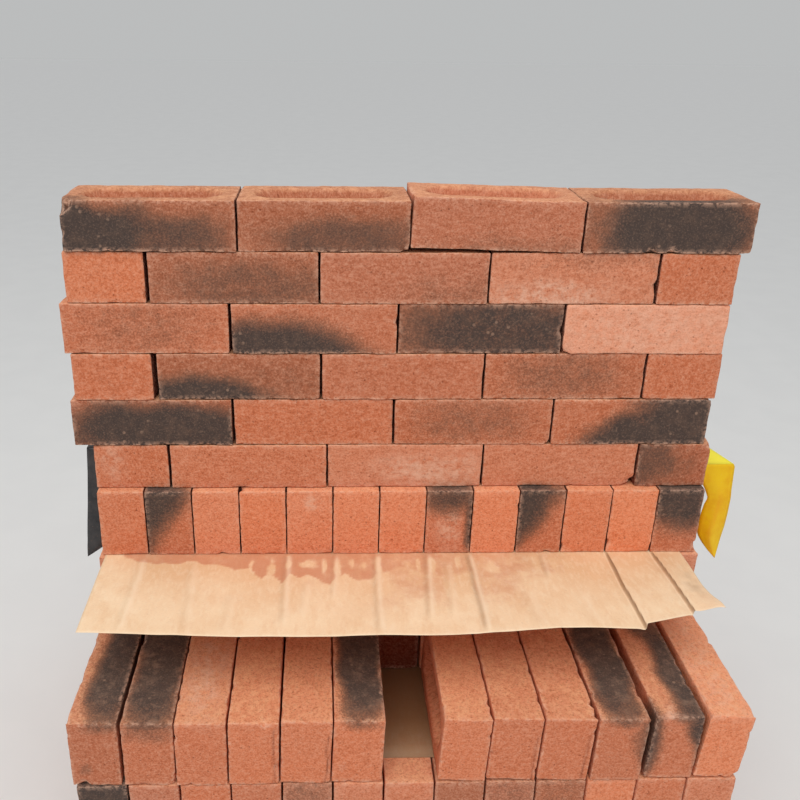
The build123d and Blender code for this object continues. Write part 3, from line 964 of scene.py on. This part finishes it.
def top_look(x, y):
    flat = level(x, y)
    forward = forward_of(x, y)

    # The border of dust along the panel, with clean drops in it, and thin dust over the sheet
    ragged = (noise(flat, 90, 4) - 0.5) * 8 * MM
    inside = y + ragged - np.interp(x, *DUST_EDGE.T)
    soft = 1 + 2.2 * ramp(x, -0.06, 0.04)
    strength = np.interp(x, *zip(*DUST_STRENGTH)) * (0.75 + 0.5 * noise(flat, 70, 5))
    rim = 0.25 * np.exp(-(inside / (3 * MM)) ** 2)
    dust = ramp(inside, -2.5 * MM * soft, 3.5 * MM * soft) * strength + rim * strength / soft
    for cx, cy, rx, ry in CLEAN_DROPS:
        away = np.hypot((x - cx) / rx, (y - cy) / ry) + (noise(flat, 130, cx * 50) - 0.5) * 0.9
        dust *= 1 - 0.8 * ramp(away, 1.5, 0.5)
    dust *= 1 - 0.85 * ramp(y, -0.1, 0.02)
    dust = np.maximum(dust, 0.22 * ramp(noise(flat, 20, 6), 0.55, 0.85) * ramp(forward, 0.9, 0.2))
    soiled = ramp(x, -0.11, -0.03) * ramp(x, 0.24, 0.13) * ramp(forward, 0.9, 0.45)
    dust = np.maximum(dust, 0.42 * soiled * ramp(noise(flat * np.array((1.7, 0.7, 1)), 26, 14), 0.38, 0.62))

    # Paler front, a painted highlight on the front edge, and painted shade and highlight on creases and
    # pleats
    shade = ramp(forward, -0.1, 1) * 0.8 + 0.25 * ramp(x, -0.33, -0.4)
    painted_shade_and_smudge = np.zeros(len(x))
    light = 0.5 * ramp(forward, 0.965, 1)
    for crease in CREASES:
        away, shown, _, dark, pale = crease_parts(x, y, crease)
        painted_shade_and_smudge = np.maximum(painted_shade_and_smudge, np.exp(-((away + 0.9) / 0.7) ** 2) * shown * dark)
        light = np.maximum(light, np.exp(-((away - 0.2) / 0.6) ** 2) * shown * pale * 1.3)
    for line in PLEATS:
        away = beside(x, y, line) / PLEAT_BAND
        band = ramp(away, -0.2, 0.4) * ramp(away, 1.15, 0.95) * (0.3 + 0.6 * np.clip(away, 0, 1))
        painted_shade_and_smudge = np.maximum(painted_shade_and_smudge, band * ramp(forward, -0.05, 0.05))
        light = np.maximum(light, np.exp(-((away + 0.35) / 0.3) ** 2) * 0.5)
    from_smudge = ((x - SMUDGE_AT[0]) / SMUDGE_SIZE[0]) ** 2 + ((y - SMUDGE_AT[1]) / SMUDGE_SIZE[1]) ** 2
    painted_shade_and_smudge = np.maximum(painted_shade_and_smudge, 0.45 * np.exp(-from_smudge) * noise(flat, 120, 12))
    return np.stack((dust, shade, painted_shade_and_smudge, light), axis=1)


def lower_lift(x, y):
    return lower_box[0][2] + noise(level(x, y), 40, 8) * 0.1 * MM


def lower_look(x, y):
    """A little dust, and painted shade over the slot's floor, darkest towards its back."""
    dust = 0.3 * ramp(noise(level(x, y), 20, 9), 0.4, 0.8)
    slot_painted_shade = 0.8 + 0.2 * ramp(y, -0.49, -0.42)
    return np.stack((dust, np.full(len(x), 0.2), slot_painted_shade, np.zeros(len(x))), axis=1)


def steps(low, high, cell):
    return np.linspace(low, high, max(2, round((high - low) / cell)))


def top_columns():
    """Columns of the top sheet, closer over the creases and pleats."""
    close = [x * MM for crease in CREASES for x in crease[:3]]
    columns = [PAPER_LEFT]
    while columns[-1] < PAPER_RIGHT - 1e-6:
        x = columns[-1]
        step = STEP_PLAIN
        if any(abs(x - c) < CREASE_REACH for c in close):
            step = STEP_CREASE
        if any(line[0] - PLEAT_REACH[0] < x < line[2] + PLEAT_REACH[1] for line in PLEATS):
            step = STEP_PLEAT
        columns.append(min(PAPER_RIGHT, x + step))
    return np.array(columns)


top_rows = np.concatenate((steps(top_box[0][1], PANEL_FOOT, STEP_ROWS),
                           steps(PANEL_FOOT, top_box[1][1], STEP_HIDDEN_ROWS)[1:]))
sheet_piece("kraft_sheet_top", top_columns(), top_rows, top_lift, top_look,
            "paper_sheet_top", front_line)
lower_columns = steps(lower_box[0][0], lower_box[1][0], STEP_LOWER)
lower_rows = steps(lower_box[0][1], lower_box[1][1], STEP_LOWER)
sheet_piece("kraft_sheet_lower", lower_columns, lower_rows, lower_lift, lower_look,
            "paper_sheet_lower")


# Loose plastic strips

def plastic_material(name, colour, deep, light, roughness):
    n = Nodes(bpy.data.materials.new(f"{name}_strip_plastic"))
    haze = n.noise(30, 5, 0.65)
    ribs = n.stretched((900, 30, 30), 3, 0.5)
    scuffed = n.mix(n.range(haze, 0.35, 0.7), colour, deep)
    scuffed = n.mix(n.range(n.noise(300, 3, 0.7), 0.6, 0.75, 0, 0.15), scuffed, PALE_SMEAR)
    # Painted highlight from the lit mark, and painted shade from the shaded mark
    lit, shaded, _, _ = n.marks()
    scuffed = n.mix(lit, scuffed, light)
    scuffed = n.mix(n.times(shaded, 0.5), scuffed, deep, "MULTIPLY")
    rough = n.range(haze, 0.3, 0.7, roughness, roughness + 0.2)
    return n.finish(scuffed, rough, n.bump(ribs, 0.3 * MM, 0.3), 0.35)


yellow = plastic_material("yellow", tint(254, 208, 0), tint(246, 184, 0), tint(255, 240, 70), 0.45)
black = plastic_material("black", tint(40, 40, 42), tint(72, 70, 70), tint(90, 88, 86), 0.25)

# Flap outlines in mm: height below the lying strip, how far outward of the lying end its two edges are, and
# how far it stands forward of the strip at its inner edge, crease and outer edge
YELLOW_FLAP = (
    (31, -14, 35, 1, 1, 1), (34, -14, 37, 1, 1.5, 1), (60, -12, 38.5, 1, 4, 1), (77, -2, 39.5, 0, 5, 1),
    (91, 4, 40.5, 1, 5, 2), (104, 1, 41, -1, 5, 1), (119, 0, 41, -3, 6, 1), (145, -1, 40.5, -5, 7, 0),
    (162, 2, 39, -6, 6, -1), (175, 10, 38, -4, 4, -1), (189, 21, 37, -2, 1, -1), (204, 35, 35.5, 0, 0, 0),
)
BLACK_FLAP = (
    (0, -38, 0, 1, 1, 1), (41, -35, 3, 1, 4, 1), (94, -30, 8, 1, 5, 2), (130, -27, 12, 0, 6, 3),
    (149, -25, 14, 0, 5, 3), (161, -24, 15, 0, 5, 3), (173, -10, 16.5, 2, 4, 3), (184, 5, 17.5, 2, 3, 3),
    (192, 17, 18, 3, 3, 3),
)
YELLOW_LYING_END, BLACK_LYING_END = 0.494, 0.47
YELLOW_BEND_START = 24 * MM
STRIP_FRONT, STRIP_BACK = -0.185, -0.145
STRIP_BASE = 0.9245
STRIP_LYING = STRIP_BASE - 0.2 * MM
STRIP_WAVE, STRIP_SKIN = mm(0.6, 0.7)
FLAP_ROWS, FLAP_COLUMNS = 40, 9
LYING_ROWS, LYING_COLUMNS = 24, 5
BEND_ROWS = 9
# Where the flap is creased, from its inner edge 0 to its outer edge 1
FLAP_CREASE = 0.42


def plastic_part(grid, light=0, shade=0):
    points = grid.reshape(-1, 3)
    marks = np.zeros((len(points), 4))
    marks[:, 0] = light
    marks[:, 1] = np.ravel(shade)
    return points, grid_quads(*grid.shape[:2]), marks, marks, points


def strip_piece(name, side, material, lying_end, outline, bend_corner):
    """Ribbon lying behind the panel, with a creased flap that hangs from its outer end."""
    node = f"loose_strip_{name}"
    table = np.array(outline)
    falls = np.linspace(table[0, 0], table[-1, 0], FLAP_ROWS)
    inner_edge, outer_edge, *stands = [np.interp(falls, table[:, 0], column) for column in table.T[1:]]
    across = np.linspace(0, 1, FLAP_COLUMNS)
    outward = inner_edge[:, None] + (outer_edge - inner_edge)[:, None] * across
    forward = np.array([np.interp(across, (0, FLAP_CREASE, 1), stand) for stand in zip(*stands)])
    fall = falls[:, None] + 0 * across
    flap = np.stack((side * (lying_end + outward * MM), STRIP_FRONT - forward * MM, STRIP_BASE - fall * MM),
                    axis=-1)
    down = np.linspace(0, 1, FLAP_ROWS)[:, None]
    from_crease = (across - FLAP_CREASE - 0.12 * np.sin(5 * down)) / 0.1
    # Painted shade along the flap's crease
    shade = 0.8 * np.exp(-from_crease ** 2) * ramp(down, 0.15, 0.4)

    low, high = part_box(node)
    inner = low[0] if side > 0 else high[0]
    last = side * (lying_end - (YELLOW_BEND_START if bend_corner else 0))
    along, over = np.meshgrid(np.linspace(0, 1, LYING_ROWS), np.linspace(0, 1, LYING_COLUMNS), indexing="ij")
    lying = np.stack((inner + (last - inner) * along, STRIP_BACK + (STRIP_FRONT - STRIP_BACK) * over,
                      STRIP_LYING + STRIP_WAVE * np.sin(7 * along) ** 2 * along), axis=-1)
    parts = [plastic_part(lying), plastic_part(flap, 0, shade)]
    if bend_corner:
        start = np.stack((np.full(FLAP_COLUMNS, last), STRIP_FRONT + (STRIP_BACK - STRIP_FRONT) * across,
                          np.full(FLAP_COLUMNS, STRIP_LYING)), axis=-1)
        bend = start + (flap[0] - start) * np.linspace(0, 1, BEND_ROWS)[:, None, None]
        # Painted highlight over the bend, which faces up
        parts.append(plastic_part(bend, 1))
    make_piece(f"plastic_strip_{name}", node, material, parts, STRIP_SKIN)


strip_piece("yellow", 1, yellow, YELLOW_LYING_END, YELLOW_FLAP, True)
strip_piece("black", -1, black, BLACK_LYING_END, BLACK_FLAP, False)


# Stage, light and camera

FLOOR = tint(238, 237, 234)
FLOOR_SHADE = tint(200, 200, 200)
FLOOR_SIZE = 60
BACKDROP = (0.499, 0.506, 0.507, 1)
SKY = (0.95, 0.97, 1, 1)
SKY_STRENGTH = 0.62
LAMP_AT = (-0.4, -2.3, 4.4)
LAMP_TARGET = (0, -0.2, 0.9)
LAMP_SIZE = 3.2
LAMP_WATTS = 95
LAMP_COLOUR = (1, 0.99, 0.96)


def studio_floor():
    n = Nodes(bpy.data.materials.new("studio_floor"))
    soft = n.noise(6, 3, 0.5)
    colour = n.mix(n.range(soft, 0.3, 0.7, 0, 0.06), FLOOR, FLOOR_SHADE)
    bpy.ops.mesh.primitive_plane_add(size=FLOOR_SIZE, location=(0, 0, 0))
    floor = bpy.context.object
    floor.name = "studio_floor"
    floor.data.materials.append(n.finish(colour, 0.9, None, 0.1))


def studio_world():
    """Even pale light all round; the camera and glossy rays see a pale backdrop."""
    world = bpy.data.worlds.new("studio_world")
    bpy.context.scene.world = world
    n = Nodes(world)
    sky = n.tree.nodes["Background"]
    n.fill(sky, {"Color": SKY, "Strength": SKY_STRENGTH})
    backdrop = n.add("Background", {"Color": BACKDROP})
    path = n.add("LightPath").outputs
    seen = path["Is Camera Ray"]
    for ray in ("Is Glossy Ray", "Is Transmission Ray"):
        seen = n.math("MAXIMUM", seen, path[ray])
    choose = n.add("MixShader", {0: seen, 1: sky.outputs[0], 2: backdrop.outputs[0]})
    n.fill(n.tree.nodes["World Output"], {0: choose.outputs[0]})


def overhead_light():
    light = bpy.data.lights.new("overhead_light", "AREA")
    light.shape = "DISK"
    light.size = LAMP_SIZE
    light.energy = LAMP_WATTS
    light.color = LAMP_COLOUR
    lamp = bpy.data.objects.new("overhead_light", light)
    lamp.location = LAMP_AT
    lamp.rotation_euler = (Vector(LAMP_TARGET) - Vector(LAMP_AT)).to_track_quat("-Z", "Y").to_euler()
    bpy.context.collection.objects.link(lamp)


def camera():
    """Camera of the photograph, from its place and its turns."""
    data = bpy.data.cameras.new("camera")
    data.sensor_width = SENSOR_MM
    data.lens = SENSOR_MM * CAMERA_FOCAL_PIXELS / PICTURE_PIXELS
    data.shift_x = CAMERA_AXIS_LEFT_PIXELS / PICTURE_PIXELS
    data.clip_start = CAMERA_CLIP_START
    eye = bpy.data.objects.new("camera", data)
    turns = ((CAMERA_YAW, "Z"), (math.pi / 2 - CAMERA_PITCH, "X"), (CAMERA_ROLL, "Z"))
    eye.matrix_world = Matrix.Translation(CAMERA_AT)
    for angle, axis in turns:
        eye.matrix_world @= Matrix.Rotation(angle, 4, axis)
    bpy.context.collection.objects.link(eye)
    bpy.context.scene.camera = eye


studio_floor()
studio_world()
overhead_light()
camera()
bpy.context.scene.view_settings.view_transform = "Standard"
